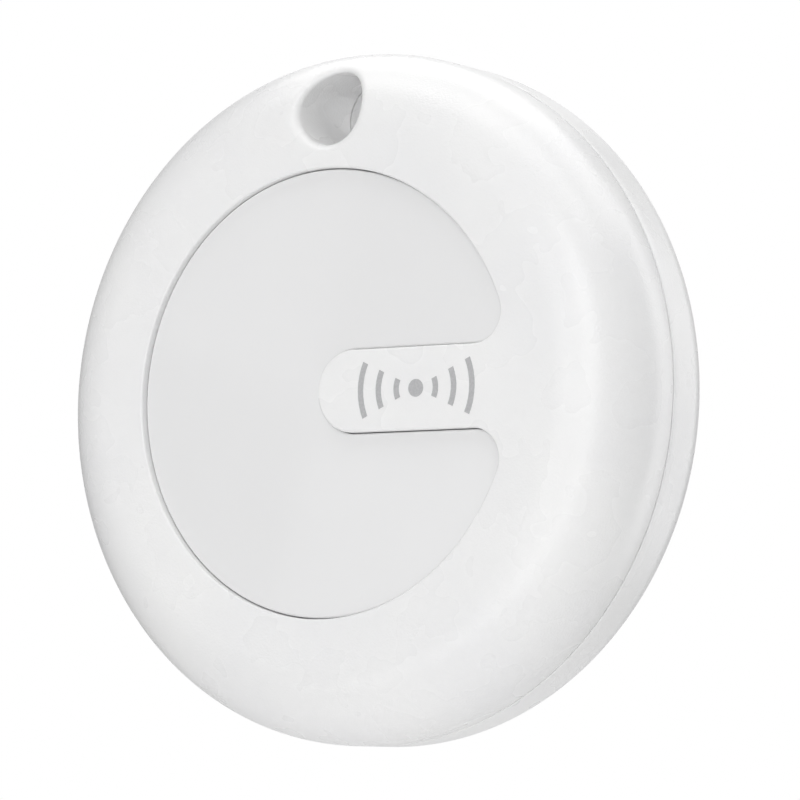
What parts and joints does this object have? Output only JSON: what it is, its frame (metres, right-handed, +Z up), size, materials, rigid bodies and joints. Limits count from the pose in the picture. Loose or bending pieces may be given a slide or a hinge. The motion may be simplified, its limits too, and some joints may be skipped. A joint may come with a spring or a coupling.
{
  "type": "bluetooth tracker tag",
  "caption": "Round white tracker tag with a keyring hole, rounded grained shells, a glossy C-shaped press plate with a tab let in, and a lift-off rear cover over a coin cell.",
  "frame": {"origin": "middle of the keyring hole, at half the tag's thickness, where a key ring holds it", "axes": "front face towards -Y, rear cover towards +Y, +Z up from the disc's axis towards the keyring hole, +X to the right seen from the front"},
  "size_m": [0.036, 0.0092, 0.036],
  "materials": {
    "shell_white": "fine spark-eroded grain, satin",
    "grey_ink": "flat pad-printed ink",
    "gloss_white": "polished, high gloss",
    "foam": "closed-cell foam",
    "black_rubber": "matt silicone",
    "board_green": "solder mask over glass-epoxy",
    "chip_black": "moulded epoxy",
    "steel_can": "plated lid",
    "ceramic_white": "glazed ceramic",
    "ceramic_brown": "fired ceramic with tinned ends",
    "plunger_cream": "moulded nylon",
    "adhesive_tape": "double-sided tape",
    "brass_plate": "rolled brass",
    "ceramic_silver": "silver-printed ceramic",
    "gold_contact": "gold-plated spring bronze",
    "nickel_contact": "nickel-plated spring steel",
    "frame_grey": "moulded, fine matt",
    "screw_steel": "zinc-plated",
    "cell_steel": "nickel-plated steel",
    "cell_gasket": "polypropylene"
  },
  "bodies": {
    "front_case": {"front_shell": "shell_white", "printed_mark": "grey_ink", "spring_pads": "foam", "stem_seal": "black_rubber", "circuit_board": "board_green", "radio_chip": "chip_black", "main_crystal": "steel_can", "clock_crystal": "steel_can", "chip_antenna": "ceramic_white", "small_passives": "ceramic_brown", "switch_body": "chip_black", "switch_cover": "steel_can", "switch_dome": "steel_can", "piezo_adhesive": "adhesive_tape", "piezo_plate": "brass_plate", "piezo_ceramic": "ceramic_silver", "piezo_springs": "gold_contact", "negative_contact": "nickel_contact", "positive_contact": "nickel_contact", "battery_frame": "frame_grey", "frame_screws": "screw_steel", "cover_gasket": "black_rubber"},
    "press_button": {"press_plate": "gloss_white"},
    "switch_button": {"switch_plunger": "plunger_cream"},
    "battery_door": {"rear_cover": "shell_white", "battery_pad": "foam"},
    "coin_cell": {"cell_can": "cell_steel", "cell_cap": "cell_steel", "cell_gasket": "cell_gasket"}
  },
  "joints": [
    {"name": "press_plate_push", "type": "slide", "parent": "front_case", "child": "press_button", "axis": [0, 1, 0], "range_m": [0, 0.00025], "stiffness_N_per_m": 3000, "springref_m": -0.0002, "deforming": ["spring_pads", "stem_seal"]},
    {"name": "switch_plunger_push", "type": "slide", "parent": "front_case", "child": "switch_button", "axis": [0, 1, 0], "range_m": [0, 0.00025], "deforming": ["switch_dome"]},
    {"name": "rear_cover_lift", "type": "slide", "parent": "front_case", "child": "battery_door", "axis": [0, 1, 0], "range_m": [0, 0.018]},
    {"name": "coin_cell_lift", "type": "slide", "parent": "front_case", "child": "coin_cell", "axis": [0, 1, 0], "range_m": [0, 0.009]}
  ],
  "couplings": [
    {"joint": "switch_plunger_push", "follows": "press_plate_push", "ratio": 1},
    {"joint": "coin_cell_lift", "follows": "rear_cover_lift", "ratio": 0.5}
  ]
}
